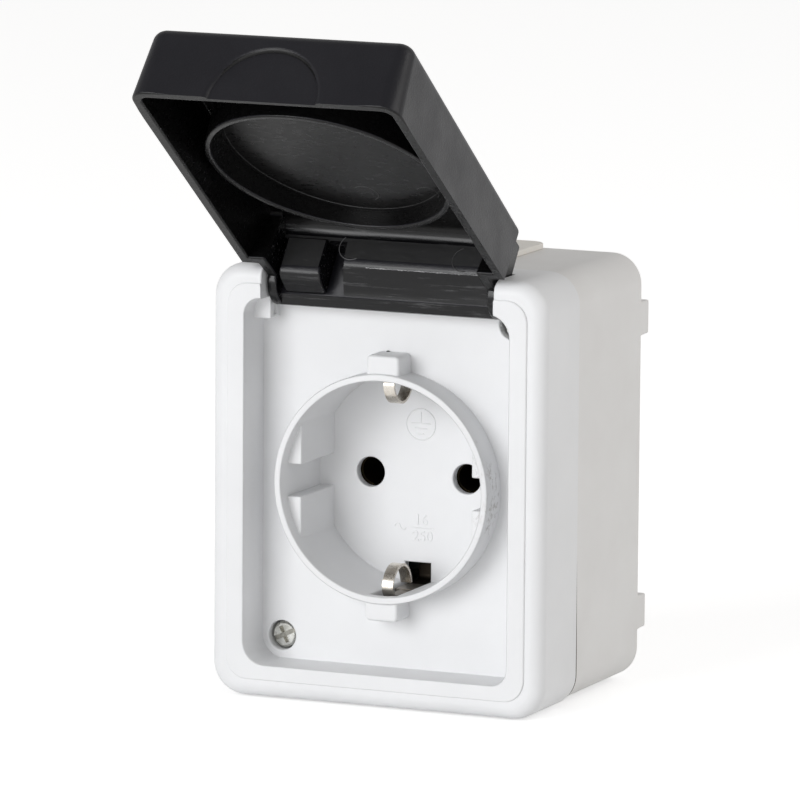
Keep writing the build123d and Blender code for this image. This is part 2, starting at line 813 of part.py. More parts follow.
with BuildPart() as cable_grommet:
    with BuildSketch(Plane.XY.offset(base_top)):
        with Locations((0, -entry_level)):
            RectangleRounded(entry_flange_width, entry_flange_depth, entry_flange_corner)
    extrude(amount=entry_flange_thickness)
    with BuildSketch(Plane.XY.offset(base_top + entry_flange_thickness)):
        with Locations((0, -entry_level)):
            Circle(entry_nipple_radius)
    extrude(amount=entry_nipple_height, taper=entry_nipple_taper)
    with BuildSketch(Plane.XY.offset(base_top)):
        with Locations((0, -entry_level)):
            Circle(entry_radius - entry_clearance)
    extrude(amount=-base_wall)
    with BuildSketch(Plane.XY.offset(lip_top)):
        with Locations((0, -entry_level)):
            Circle(entry_radius + entry_lip)
    extrude(amount=-entry_lip_thickness)
    with BuildSketch(Plane.XY.offset(lip_top - entry_lip_thickness)):
        with Locations((0, -entry_level)):
            Circle(entry_bore_radius)
    bore_top = base_top + entry_flange_thickness + entry_nipple_height - entry_membrane
    extrude(amount=bore_top - lip_top + entry_lip_thickness, mode=Mode.SUBTRACT)
keep(cable_grommet.part, "cable_grommet")
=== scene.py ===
import json
import math

import bmesh
import bpy
from mathutils import Matrix, Vector
from mathutils.bvhtree import BVHTree
from mathutils.kdtree import KDTree


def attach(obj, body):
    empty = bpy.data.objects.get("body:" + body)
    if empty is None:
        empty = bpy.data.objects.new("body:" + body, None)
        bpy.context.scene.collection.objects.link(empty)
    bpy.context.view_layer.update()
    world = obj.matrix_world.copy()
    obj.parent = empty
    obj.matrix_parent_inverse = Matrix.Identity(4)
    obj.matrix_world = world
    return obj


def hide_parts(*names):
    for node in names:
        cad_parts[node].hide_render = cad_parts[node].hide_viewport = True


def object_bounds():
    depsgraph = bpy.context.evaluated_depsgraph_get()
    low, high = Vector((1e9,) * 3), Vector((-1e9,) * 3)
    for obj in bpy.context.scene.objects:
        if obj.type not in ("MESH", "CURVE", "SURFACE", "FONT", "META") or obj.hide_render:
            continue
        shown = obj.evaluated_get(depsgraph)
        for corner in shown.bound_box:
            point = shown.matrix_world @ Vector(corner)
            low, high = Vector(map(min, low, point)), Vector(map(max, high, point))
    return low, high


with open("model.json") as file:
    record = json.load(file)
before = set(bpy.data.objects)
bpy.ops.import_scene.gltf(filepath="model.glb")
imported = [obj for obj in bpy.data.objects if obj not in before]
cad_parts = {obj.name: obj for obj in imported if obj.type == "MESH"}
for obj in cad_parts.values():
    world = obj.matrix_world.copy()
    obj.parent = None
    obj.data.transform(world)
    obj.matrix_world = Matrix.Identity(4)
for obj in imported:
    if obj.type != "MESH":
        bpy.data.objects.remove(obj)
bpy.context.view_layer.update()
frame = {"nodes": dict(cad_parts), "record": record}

MM = 0.001
scene = bpy.context.scene
scene.view_settings.view_transform = "Standard"

record = frame["record"]
slot_of = {row["node"]: row["material_slot"] for row in record["subparts"]}
body_of = {node: body for body, members in record["behaviour"]["bodies"].items() for node in members}
lid_joint = record["behaviour"]["joints"][0]
hinge = Vector(lid_joint["pos_m"])

# How far the lid stands open, from its rim lying parallel to the wall
LID_TURN = math.radians(126.3)

# The part of that turn that the hinge makes, from shut to open
LID_SWING = math.radians(lid_joint["range_deg"][1])

# Places in millimetres: the plug well's floor, the collar around it, and the lid's seal ring when shut
WELL_FLOOR_Y = -31.2
COLLAR_RADIUS = 20.9
RING_RIM_Y = -51.0
RING_FOOT_RADIUS = 20.3

# Rub marks on the collar's right flank, in millimetres: middle and half size of their region
SCUFF_CENTRE = (COLLAR_RADIUS + 1.1, -46.2, 1.0)
SCUFF_REACH = (6.5, 3.6, 19.0)

# How far out a region starts to fade, as a share of its half size
FADE_START = 0.7

# Where the earth strip gets painted shade and goes dull, in millimetres: between two depths, and between two
# heights
SHADED_DULL_DEPTH = (-33.5, -30.5)
SHADED_DULL_HEIGHT = (18.4, 20.9)

# Where painted shade darkens a screw's drive, in millimetres below the top of its head
DRIVE_DEPTH = (0.25, 0.85)

# Edge rounds of the mouldings, in millimetres
COVER_ROUND = 0.3
LID_ROUND = 0.4
BASE_ROUND = 0.35
GROMMET_ROUND = 0.25

# Edge rounding: which edges get it, how much of the room beside an edge it takes, and how it is checked.
# The smallest face that is checked is in square metres.
ROUNDED_ANGLE = math.radians(50)
SHADED_SHARP_ANGLE = math.radians(48)
FLAT_ANGLE = math.radians(0.5)
ROUND_SEGMENTS = 3
ROOM_SHARE = 0.42
STRAY_SHARE = 0.9
TURNED_OVER = -0.2
SMALLEST_FACE = 2e-9
WELD_DISTANCE = 0.002 * MM
ROUNDING_TRIES = 8
NORMAL_WEIGHT = 80

# The lid drawn flat, in millimetres: its rim, its free end and the thumb recess there
LID_RIM_LEVEL = 42.9
LID_BOTTOM = -32.9
LID_DRAFT = math.radians(3.6)
THUMB_RADIUS = 11.8
THUMB_DEPTH = 0.7
THUMB_LIP_RADIUS = 11.15
THUMB_LIP_ROUND = 1.1
THUMB_LIP_START = math.radians(10)
THUMB_LIP_STEPS = 6
THUMB_STEPS = 96
PLUG_MARGIN = 0.3
PLUG_DEPTHS = (0.005, 1.0)
CUTTER_MARGIN = 0.58
CUTTER_DEPTHS = (-2.0, -0.12)

# Finishes of the lid: the hinge bar's reach, and how far a face may look towards the back or the free end
BAR_REACH = 6.1 * MM
RAY_LIFT = 0.05 * MM
RAY_LENGTH = 60 * MM
FACES_BACK = 0.35
FACES_FREE_END = -0.985

# Earth sign, in millimetres: its place on the well's floor, its circle, and each line from end to end
EARTH_PLACE = (0.4, 9.4)
EARTH_RADIUS = 2.85
EARTH_STEPS = 60
EARTH_STROKE = 0.13
EARTH_LINES = (
    ((0, 2.3), (0, 0.2)),
    ((-1.9, 0.2), (1.9, 0.2)),
    ((-1.25, -0.75), (1.25, -0.75)),
    ((-0.6, -1.7), (0.6, -1.7)),
)

# Rating figures, in millimetres: name, text and place of each, then their sizes and the line and wave
RATINGS = (("rating_upper", "16", 0.6, -9.0), ("rating_lower", "250", 0.9, -12.0))
FIGURE_SIZE = 2.7
FIGURE_HEIGHT = 0.09
FIGURE_BEVEL = 0.03
RATING_LINE_PLACE = (-3.5, -9.6)
RATING_LINE = ((2.0, 0), (6.6, 0))
RATING_STROKE = 0.11
WAVE_RADIUS = 0.55
WAVE_STEPS = 8

# Torn-off moulding gate, in millimetres: place, radius, flatness and how uneven it is
GATE_PLACE = (-1.15, -42.75, 24.2)
GATE_RADIUS = 0.34
GATE_FLATNESS = 0.5
GATE_UNEVEN = 0.25
GATE_WAVES = 9000

# The joint between base and cover, in millimetres: its height above the wall, its side and its corner
SEAM_LEVEL = 34.1
SEAM_SINK = 0.12
SEAM_HALF_WIDTH = 32.3
SEAM_CORNER = (26.5, -33.5)
SEAM_TOP = -8.0
SEAM_SPACING = 0.5
SEAM_POINTS = 51
SEAM_TURN = -60
SEAM_TURN_STEPS = 16
SEAM_RADIUS = 0.19
SEAM_THIN = 0.12
SEAM_GROWTH_STEPS = 44
SEAM_END = 0.3
SEAM_END_STEPS = 12

# Burr on the hinge bar's lip, a pale line that is partly a rubbed edge and partly a painted highlight, in
# millimetres: where it starts, its points, its height and where rays start
BURR_START_X = -3.4
BURR_SPACING = 0.15
BURR_POINTS = 160
BURR_LEVEL = 39.85
BURR_WAVER = 0.06
BURR_FRONT_Y = -52.5
BURR_REACH = 8
BURR_RADIUS = 0.14
BURR_THIN = 0.35

# Waves along the burr, in radians per millimetre: two make it ragged and two make it thicker in places
RAGGED_WAVES = (2.9, 7.3)
RAGGED_SHIFT = 1.0
SWELL_WAVES = (1.7, 9.1)
SWELL_SHIFT = 2.0
SWELL_SHARE = 0.6

# Marks on the lid's inside, drawn pale as painted highlights: line radii in millimetres, steps, and how far
# from the surface a ray starts
FOOT_LINE_RADIUS = 0.05
FOOT_LINE_STEPS = 120
PIN_LINE_RADIUS = 0.08
PIN_LINE_STEPS = 32
MARK_AWAY = 6 * MM

# Pin marks: name, place in millimetres, outward direction, radius, and first and last degree
BAR_OUTWARD = (0, -0.806, 0.592)
RING_OUTWARD = (0, -0.617, -0.787)
PIN_MARKS = (
    ("pin_mark_bar_left", (-6.8, -45.84, 43.16), BAR_OUTWARD, 2.6, 60, 300),
    ("pin_mark_bar_right", (15.3, -46.49, 42.28), BAR_OUTWARD, 2.4, 110, 280),
    ("pin_mark_ring_middle", (0.9, -57.68, 54.72), RING_OUTWARD, 2.3, -60, 130),
    ("pin_mark_ring_right", (13.3, -58.8, 55.6), RING_OUTWARD, 2.0, -40, 150),
)

# Camera, in metres and millimetres of lens
CAMERA_PLACE = (0.5643, -1.3329, 0.2363)
CAMERA_TARGET = (0.00217, -0.04482, 0.01592)
CAMERA_ROLL = math.radians(0.44)
CAMERA_LENS = 357.19
CAMERA_SENSOR = 36.0
CAMERA_FAR = 20.0

# Floor and lamps, in metres
FLOOR_GLOW = 0.55
FLOOR_COLOUR = (0.8, 0.8, 0.8, 1)
FLOOR_REACH = 6.0
FLOOR_GAP = 0.0003
LAMP_TARGET = (0, -0.04, 0.02)
ROOM_TINT = (1.0, 0.993, 0.983, 1)
ROOM_TURN = (-0.3, 0.75)


# Node helpers

def new_material(name):
    """A node material with only an output and a principled shader."""
    material = bpy.data.materials.new(name)
    material.use_nodes = True
    nodes, links = material.node_tree.nodes, material.node_tree.links
    nodes.clear()
    output = nodes.new("ShaderNodeOutputMaterial")
    shader = nodes.new("ShaderNodeBsdfPrincipled")
    links.new(shader.outputs["BSDF"], output.inputs["Surface"])
    return material, nodes, links, shader


def parts_of(material):
    """Nodes, links and principled shader of a material that is already made."""
    nodes, links = material.node_tree.nodes, material.node_tree.links
    shader = next(node for node in nodes if node.type == "BSDF_PRINCIPLED")
    return nodes, links, shader


def own_place(nodes, links, scale=(1, 1, 1), shift=(0, 0, 0)):
    """The point on the piece in its own frame, in metres, scaled and then shifted."""
    place = nodes.new("ShaderNodeTexCoord")
    mapping = nodes.new("ShaderNodeMapping")
    mapping.inputs["Scale"].default_value = scale
    mapping.inputs["Location"].default_value = shift
    links.new(place.outputs["Object"], mapping.inputs["Vector"])
    return mapping.outputs["Vector"]


def own_axes(nodes, links):
    """The point's separate coordinates, as sockets named X, Y and Z."""
    split = nodes.new("ShaderNodeSeparateXYZ")
    links.new(own_place(nodes, links), split.inputs[0])
    return split.outputs


def noise(nodes, links, scale, detail=4.0, rough=0.55, stretch=(1, 1, 1)):
    """Noise in the piece's own place, stretched where an axis has a small factor."""
    texture = nodes.new("ShaderNodeTexNoise")
    texture.inputs["Scale"].default_value = scale
    texture.inputs["Detail"].default_value = detail
    texture.inputs["Roughness"].default_value = rough
    links.new(own_place(nodes, links, stretch), texture.inputs["Vector"])
    return texture.outputs["Fac"]


def ramp(nodes, links, value, span, to=(0.0, 1.0)):
    """The value taken from one range to another, kept within it."""
    node = nodes.new("ShaderNodeMapRange")
    node.clamp = True
    node.inputs["From Min"].default_value = span[0]
    node.inputs["From Max"].default_value = span[1]
    node.inputs["To Min"].default_value = to[0]
    node.inputs["To Max"].default_value = to[1]
    links.new(value, node.inputs["Value"])
    return node.outputs["Result"]


def maths(nodes, links, operation, *values):
    """One sum on values, each a plain number or another node's socket."""
    node = nodes.new("ShaderNodeMath")
    node.operation = operation
    for socket, value in zip(node.inputs, values):
        if isinstance(value, float):
            socket.default_value = value
        else:
            links.new(value, socket)
    return node.outputs[0]


def mix_colours(nodes, links, factor, first, second):
    """Colour that goes from the first to the second with the factor."""
    node = nodes.new("ShaderNodeMix")
    node.data_type = "RGBA"
    links.new(factor, node.inputs[0])
    for socket, colour in ((node.inputs[6], first), (node.inputs[7], second)):
        if isinstance(colour, tuple):
            socket.default_value = (*colour, 1.0)
        else:
            links.new(colour, socket)
    return node.outputs[2]


def recolour(nodes, links, shader, factor, colour):
    """Take the shader's colour towards another one where the factor is high."""
    before = shader.inputs["Base Color"].links[0].from_socket
    links.new(mix_colours(nodes, links, factor, before, colour), shader.inputs["Base Color"])


def bump(nodes, links, shader, height, strength, distance):
    """Fine relief from a height."""
    node = nodes.new("ShaderNodeBump")
    node.inputs["Strength"].default_value = strength
    node.inputs["Distance"].default_value = distance
    links.new(height, node.inputs["Height"])
    links.new(node.outputs["Normal"], shader.inputs["Normal"])


def within(nodes, links, centre, reach):
    """One inside an ellipsoid, in millimetres, fading to nothing at its surface."""
    scale = tuple(1 / (size * MM) for size in reach)
    shift = tuple(-place / size for place, size in zip(centre, reach))
    length = nodes.new("ShaderNodeVectorMath")
    length.operation = "LENGTH"
    links.new(own_place(nodes, links, scale, shift), length.inputs[0])
    return ramp(nodes, links, length.outputs["Value"], (FADE_START, 1.0), (1.0, 0.0))


# Materials

def moulded_plastic(name, colour, shade, roughness, grain=3200.0, relief=0.06, specular=0.5):
    """Moulded plastic: faint cloudiness in the colour, uneven gloss and a fine tool grain."""
    material, nodes, links, shader = new_material(name)
    cloud = ramp(nodes, links, noise(nodes, links, scale=55.0), (0.35, 0.7))
    speck = ramp(nodes, links, noise(nodes, links, scale=1700.0, detail=2.0), (0.66, 0.74), (0.0, 0.45))
    base = mix_colours(nodes, links, cloud, colour, shade)
    links.new(mix_colours(nodes, links, speck, base, shade), shader.inputs["Base Color"])
    gloss = noise(nodes, links, scale=140.0, detail=6.0)
    uneven = ramp(nodes, links, gloss, (0.3, 0.7), (roughness - 0.05, roughness + 0.06))
    links.new(uneven, shader.inputs["Roughness"])
    shader.inputs["Specular IOR Level"].default_value = specular
    bump(nodes, links, shader, noise(nodes, links, grain, detail=3.0), relief, 0.1 * MM)
    return material


def scuffed(material, grime, centre, reach, amount):
    """Small dark rub marks on a plastic, within one region of the piece."""
    nodes, links, shader = parts_of(material)
    fine = noise(nodes, links, scale=1300.0, detail=6.0, rough=0.7, stretch=(1, 0.7, 0.6))
    spots = ramp(nodes, links, fine, (0.50, 0.66), (0.0, amount))
    patches = ramp(nodes, links, noise(nodes, links, scale=190.0, detail=2.0), (0.40, 0.58))
    here = within(nodes, links, centre, reach)
    marks = maths(nodes, links, "MULTIPLY", spots, patches)
    recolour(nodes, links, shader, maths(nodes, links, "MULTIPLY", marks, here), grime)


def worn_gloss(name, colour, scratch, stretch, roughness, wear, specular):
    """Smooth black plastic with fine flow lines and rubbed streaks along one direction."""
    material, nodes, links, shader = new_material(name)
    streak = noise(nodes, links, scale=1500.0, detail=6.0, rough=0.7, stretch=stretch)
    blotch = noise(nodes, links, scale=260.0, rough=0.6, stretch=(0.5, 1, 1))
    rub = ramp(nodes, links, streak, (0.55, 0.72), (0.0, wear))
    patch = ramp(nodes, links, blotch, (0.40, 0.62), (0.15, 1.0))
    factor = maths(nodes, links, "MULTIPLY", rub, patch)
    links.new(mix_colours(nodes, links, factor, colour, scratch), shader.inputs["Base Color"])
    uneven = ramp(nodes, links, streak, (0.3, 0.75), (roughness - 0.05, roughness + 0.16))
    links.new(uneven, shader.inputs["Roughness"])
    shader.inputs["Specular IOR Level"].default_value = specular
    bump(nodes, links, shader, streak, 0.10, 0.08 * MM)
    return material


def metal(name, colour, shade, roughness, stretch=(1, 1, 1), grain=2600.0):
    """Plated metal: drawn streaks in its gloss and a thin dull bloom."""
    material, nodes, links, shader = new_material(name)
    bloom = ramp(nodes, links, noise(nodes, links, scale=420.0, detail=5.0), (0.4, 0.7))
    links.new(mix_colours(nodes, links, bloom, colour, shade), shader.inputs["Base Color"])
    shader.inputs["Metallic"].default_value = 1.0
    streak = noise(nodes, links, grain, rough=0.6, stretch=stretch)
    uneven = ramp(nodes, links, streak, (0.3, 0.7), (roughness - 0.08, roughness + 0.12))
    links.new(uneven, shader.inputs["Roughness"])
    bump(nodes, links, shader, streak, 0.12, 0.05 * MM)
    return material


def shaded_and_dull_inside(material, colour, roughness):
    """Paint shade onto the earth strip and make it dull, behind the well's floor and outside its wall."""
    nodes, links, shader = parts_of(material)
    axes = own_axes(nodes, links)
    behind = ramp(nodes, links, axes["Y"], [place * MM for place in SHADED_DULL_DEPTH])
    height = maths(nodes, links, "ABSOLUTE", axes["Z"])
    outside = ramp(nodes, links, height, [place * MM for place in SHADED_DULL_HEIGHT])
    either = maths(nodes, links, "MAXIMUM", behind, outside)
    recolour(nodes, links, shader, either, colour)
    smooth = shader.inputs["Roughness"].links[0].from_socket
    gloss = nodes.new("ShaderNodeMix")
    links.new(either, gloss.inputs[0])
    links.new(smooth, gloss.inputs[2])
    gloss.inputs[3].default_value = roughness
    links.new(gloss.outputs[0], shader.inputs["Roughness"])


def shaded_drive(material, colour, screw):
    """Paint shade into the drive in a screw's head, darker below the chamfer at the head's edge."""
    nodes, links, shader = parts_of(material)
    head_top = min(point.co.y for point in frame["nodes"][screw].data.vertices)
    span = [head_top + depth * MM for depth in DRIVE_DEPTH]
    recolour(nodes, links, shader, ramp(nodes, links, own_axes(nodes, links)["Y"], span), colour)


WHITE = moulded_plastic("white_plastic", (0.805, 0.81, 0.82), (0.775, 0.78, 0.79), 0.42, specular=0.45)
scuffed(WHITE, (0.34, 0.32, 0.30), SCUFF_CENTRE, SCUFF_REACH, 0.8)
GREY = moulded_plastic("grey_plastic", (0.79, 0.785, 0.775), (0.755, 0.745, 0.735), 0.46, specular=0.4)
BLACK = moulded_plastic(
    "black_plastic", (0.0096, 0.0094, 0.0124), (0.0130, 0.0127, 0.0158), 0.36,
    grain=2400.0, relief=0.45, specular=0.29,
)
BLACK_INSIDE = worn_gloss(
    "black_plastic_inside", (0.0026, 0.0025, 0.0026), (0.012, 0.012, 0.012),
    stretch=(0.35, 1, 1), roughness=0.27, wear=0.5, specular=0.26,
)
BLACK_BAR = worn_gloss(
    "black_plastic_bar", (0.0022, 0.0022, 0.0028), (0.17, 0.17, 0.175),
    stretch=(0.06, 1, 1), roughness=0.18, wear=0.8, specular=0.34,
)
BLACK_FACE = worn_gloss(
    "black_plastic_face", (0.014, 0.014, 0.0145), (0.05, 0.05, 0.05),
    stretch=(0.3, 1, 1), roughness=0.5, wear=0.5, specular=0.4,
)
# Pale black plastic for the lines and pin marks inside the lid: a painted highlight
BLACK_PAINTED_HIGHLIGHT = moulded_plastic(
    "black_plastic_painted_highlight", (0.10, 0.10, 0.102), (0.03, 0.03, 0.03), 0.4,
    grain=1500.0, relief=0.3, specular=0.4,
)
# Pale plastic for the burr on the hinge bar's lip: partly a rubbed edge, partly a painted highlight
PALE_BURR_AND_HIGHLIGHT = moulded_plastic(
    "black_plastic_burr_and_highlight", (0.42, 0.42, 0.43), (0.16, 0.16, 0.16), 0.4,
    grain=1500.0, relief=0.3, specular=0.4,
)
IVORY = moulded_plastic(
    "ivory_rubber", (0.86, 0.835, 0.79), (0.80, 0.77, 0.72), 0.55, grain=1800.0, relief=0.12, specular=0.3,
)
SEAL = moulded_plastic(
    "seal_rubber", (0.045, 0.045, 0.045), (0.06, 0.06, 0.06), 0.65, grain=1800.0, relief=0.15, specular=0.3,
)
# Gasket edge in the joint between base and cover, darkened partly as painted shade of the gap
GASKET_EDGE_AND_SHADE = moulded_plastic(
    "joint_rubber_and_shade", (0.13, 0.105, 0.085), (0.07, 0.055, 0.045), 0.6, grain=1800.0, relief=0.15, specular=0.3,
)
INSULATOR = moulded_plastic("insulator", (0.010, 0.010, 0.010), (0.016, 0.015, 0.014), 0.5)
ZINC = metal("zinc_steel", (0.74, 0.74, 0.71), (0.50, 0.50, 0.46), 0.22, grain=1200.0)
# Painted shade in the drive of the lower left screw's head
shaded_drive(ZINC, (0.40, 0.39, 0.35), "cover_screw_lower_left")
NICKEL = metal("nickel_strip", (0.70, 0.66, 0.60), (0.52, 0.47, 0.40), 0.24, stretch=(8, 1, 1))
# Painted shade on the earth strip inside its slot and beyond the well's wall, where it is also made duller
shaded_and_dull_inside(NICKEL, (0.035, 0.028, 0.022), 0.55)
# The brass contacts are coloured near black: painted shade of the deep pin holes
SHADED_BRASS = metal("contact_brass", (0.05, 0.038, 0.022), (0.03, 0.023, 0.014), 0.45)

MATERIALS = {
    "white_plastic": WHITE, "grey_plastic": GREY, "black_plastic": BLACK, "ivory_rubber": IVORY,
    "seal_rubber": SEAL, "zinc_steel": ZINC, "nickel_strip": NICKEL, "contact_brass": SHADED_BRASS,
    "insulator": INSULATOR,
}
for node, thing in frame["nodes"].items():
    thing.data.materials.clear()
    thing.data.materials.append(MATERIALS[slot_of[node]])


# Pieces made from the CAD shapes, with the small edge rounds of a moulding

def mesh_of(thing):
    """The finished mesh of an object in the scene, which is then taken out of it."""
    mesh = bpy.data.meshes.new_from_object(thing.evaluated_get(bpy.context.evaluated_depsgraph_get()))
    bpy.data.objects.remove(thing)
    return mesh


def placed(name, data):
    """A new object in the scene."""
    thing = bpy.data.objects.new(name, data)
    scene.collection.objects.link(thing)
    return thing


def shaped(mesh, name, kind, **settings):
    """The mesh after one modifier, as a new mesh."""
    holder = placed(name, mesh)
    change = holder.modifiers.new(name, kind)
    for key, value in settings.items():
        setattr(change, key, value)
    return mesh_of(holder)


def room_beside(edge):
    """The least width that a face beside an edge has, measured square to the edge."""
    start, end = (point.co for point in edge.verts)
    along = (end - start).normalized()
    widths = []
    for face in edge.link_faces:
        reach = [point.co - start for point in face.verts]
        widths.append(max((arm - arm.dot(along) * along).length for arm in reach))
    return min(widths)


def stray_spots(mesh, drawn, width):
    """Points of a rounded mesh that left the drawn surface, and corners of faces turned inside out."""
    shape = bmesh.new()
    shape.from_mesh(mesh)
    bmesh.ops.triangulate(shape, faces=shape.faces)
    stray = set()
    for point in shape.verts:
        if drawn.find_nearest(point.co)[3] > STRAY_SHARE * width:
            stray.add(point)
            stray.update(edge.other_vert(point) for edge in point.link_edges)
    for face in shape.faces:
        normal = drawn.find_nearest(face.calc_center_median())[1]
        if face.calc_area() > SMALLEST_FACE and face.normal.dot(normal) < TURNED_OVER:
            stray.update(face.verts)
    spots = [point.co.copy() for point in stray]
    shape.free()
    return spots


def leave_sharp(shape, weight, spots, reach):
    """Take the rounding off every edge that has an end near one of the spots."""
    tree = KDTree(len(spots))
    for number, spot in enumerate(spots):
        tree.insert(spot, number)
    tree.balance()
    for edge in shape.edges:
        if edge[weight] > 0 and min(tree.find(point.co)[2] for point in edge.verts) < reach:
            edge[weight] = 0.0


def rounded_mesh(mesh, width):
    """The mesh with its outer sharp edges rounded, wherever there is room for it."""
    shape = bmesh.new()
    shape.from_mesh(mesh)
    drawn = BVHTree.FromBMesh(shape)
    bmesh.ops.remove_doubles(shape, verts=shape.verts, dist=WELD_DISTANCE)
    bmesh.ops.dissolve_limit(
        shape, angle_limit=FLAT_ANGLE, use_dissolve_boundaries=False,
        verts=shape.verts, edges=shape.edges, delimit=set(),
    )
    weight = shape.edges.layers.float.new("bevel_weight_edge")
    for edge in shape.edges:
        if len(edge.link_faces) == 2 and edge.is_convex and edge.calc_face_angle() > ROUNDED_ANGLE:
            edge[weight] = min(1.0, ROOM_SHARE * room_beside(edge) / width)
    for _ in range(ROUNDING_TRIES):
        plain = bpy.data.meshes.new("plain")
        shape.to_mesh(plain)
        result = shaped(
            plain, "round", "BEVEL", width=width, segments=ROUND_SEGMENTS, limit_method="WEIGHT",
            offset_type="OFFSET", use_clamp_overlap=False, loop_slide=False,
        )
        spots = stray_spots(result, drawn, width)
        if not spots:
            break
        leave_sharp(shape, weight, spots, 2 * width)
    shape.free()
    return result


def shade_smooth(mesh):
    """Smooth shading that stays crisp at the edges left sharp."""
    shape = bmesh.new()
    shape.from_mesh(mesh)
    bmesh.ops.remove_doubles(shape, verts=shape.verts, dist=WELD_DISTANCE)
    for face in shape.faces:
        face.smooth = True
    for edge in shape.edges:
        edge.smooth = not (len(edge.link_faces) == 2 and edge.calc_face_angle() > SHADED_SHARP_ANGLE)
    shape.to_mesh(mesh)
    shape.free()


def rounded_copy(node, name, width, tools=()):
    """Copy of a CAD node, changed by any tool bodies, with its outer edges rounded, in its place."""
    mesh = frame["nodes"][node].data.copy()
    for operation, tool in tools:
        mesh = shaped(mesh, "tool", "BOOLEAN", operation=operation, solver="EXACT", object=tool)
        bpy.data.objects.remove(tool)
    mesh = rounded_mesh(mesh, width * MM)
    mesh.name = name
    mesh.materials.clear()
    mesh.materials.append(MATERIALS[slot_of[node]])
    shade_smooth(mesh)
    piece = placed(name, mesh)
    weigh = piece.modifiers.new("normals", "WEIGHTED_NORMAL")
    weigh.keep_sharp = True
    weigh.weight = NORMAL_WEIGHT
    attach(piece, body_of[node])
    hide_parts(node)
    return piece


def thumb_body(name, rings, sweep):
    """Closed body of rings on the lid's free wall, each a radius and a depth below its surface."""
    count = THUMB_STEPS
    whole = math.isclose(sweep, 2 * math.pi)
    turns = [sweep * step / (count if whole else count - 1) for step in range(count)]
    opened = Matrix.Rotation(-LID_TURN, 3, "X")
    points = []
    for radius, depth in rings:
        for turn in turns:
            across, rise = radius * math.cos(turn), radius * math.sin(turn)
            wall = LID_BOTTOM + rise * math.tan(LID_DRAFT)
            flat = Vector((across, -LID_RIM_LEVEL - rise, wall + depth)) * MM
            points.append(hinge + opened @ (flat - hinge))
    faces = [tuple(range(count)), tuple(range((len(rings) - 1) * count, len(rings) * count))]
    for ring in range(len(rings) - 1):
        for step in range(count):
            near, far = ring * count + step, ring * count + (step + 1) % count
            faces.append((near, far, far + count, near + count))
    mesh = bpy.data.meshes.new(name)
    mesh.from_pydata(points, [], faces)
    shape = bmesh.new()
    shape.from_mesh(mesh)
    bmesh.ops.recalc_face_normals(shape, faces=shape.faces)
    shape.to_mesh(mesh)
    shape.free()
    return placed(name, mesh)


def thumb_tools():
    """Plug that fills the plain recess in the lid, and a cutter that sinks it again with a soft lip."""
    plug_radius = THUMB_RADIUS + PLUG_MARGIN
    plug = thumb_body("thumb_plug", [(plug_radius, depth) for depth in PLUG_DEPTHS], math.pi)
    rings = [(THUMB_LIP_RADIUS + CUTTER_MARGIN, depth) for depth in CUTTER_DEPTHS]
    steepest = math.acos(1 - THUMB_DEPTH / THUMB_LIP_ROUND)
    for step in range(THUMB_LIP_STEPS + 1):
        tilt = THUMB_LIP_START + (steepest - THUMB_LIP_START) * step / THUMB_LIP_STEPS
        rings.append((
            THUMB_LIP_RADIUS - THUMB_LIP_ROUND * math.sin(tilt), THUMB_LIP_ROUND * (1 - math.cos(tilt)),
        ))
    return ("UNION", plug), ("DIFFERENCE", thumb_body("thumb_cutter", rings, 2 * math.pi))


def finish_lid(piece):
    """Give the lid its finishes: grained outside, smooth inside, and a rubbed hinge bar with a dull face."""
    mesh = piece.data
    for finish in (BLACK_INSIDE, BLACK_BAR, BLACK_FACE):
        mesh.materials.append(finish)
    shape = bmesh.new()
    shape.from_mesh(mesh)
    tree = BVHTree.FromBMesh(shape)
    shut = Matrix.Rotation(LID_TURN, 3, "X")
    for face in shape.faces:
        centre = face.calc_center_median()
        hit = tree.ray_cast(centre + RAY_LIFT * face.normal, face.normal, RAY_LENGTH)[0]
        normal = shut @ face.normal
        if hit is None and normal.y < FACES_BACK:
            continue
        near_hinge = (shut @ (centre - hinge)).z > -BAR_REACH
        faces_free_end = normal.z < FACES_FREE_END
        face.material_index = 1 + near_hinge + (near_hinge and faces_free_end)
    shape.to_mesh(mesh)
    shape.free()


rounded_copy("front_cover", "front_cover_moulding", COVER_ROUND)
lid = rounded_copy("lid", "lid_moulding", LID_ROUND, thumb_tools())
finish_lid(lid)
rounded_copy("base_box", "base_box_moulding", BASE_ROUND)
rounded_copy("cable_grommet", "cable_grommet_moulding", GROMMET_ROUND)


# Raised signs, small moulding marks, and lines of painted shade and painted highlight

def add_piece(name, mesh, material, node):
    """New piece from a mesh, with a finish, on the body of the node that carries it."""
    mesh.materials.append(material)
    piece = placed(name, mesh)
    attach(piece, body_of[node])


def set_smooth(mesh):
    """Smooth shading all over a mesh."""
    for polygon in mesh.polygons:
        polygon.use_smooth = True


def curve_mesh(curve, place=Matrix.Identity(4)):
    """Mesh of a curve or text that stands at a place, in the row frame."""
    mesh = mesh_of(placed(curve.name, curve))
    bpy.data.curves.remove(curve)
    mesh.transform(place)
    set_smooth(mesh)
    return mesh


def round_line(name, radius, resolution):
    """Empty curve that is drawn as a round line with closed ends."""
    curve = bpy.data.curves.new(name, "CURVE")
    curve.dimensions = "3D"
    curve.bevel_depth = radius * MM
    curve.bevel_resolution = resolution
    curve.use_fill_caps = True
    return curve


def stroke_curve(name, strokes, radius):
    """Curve of round lines, each a list of flat points in millimetres and whether it closes."""
    curve = round_line(name, radius, 2)
    for points, closed in strokes:
        spline = curve.splines.new("POLY")
        spline.points.add(len(points) - 1)
        for point, (x, y) in zip(spline.points, points):
            point.co = (x * MM, y * MM, 0, 1)
        spline.use_cyclic_u = closed
    return curve


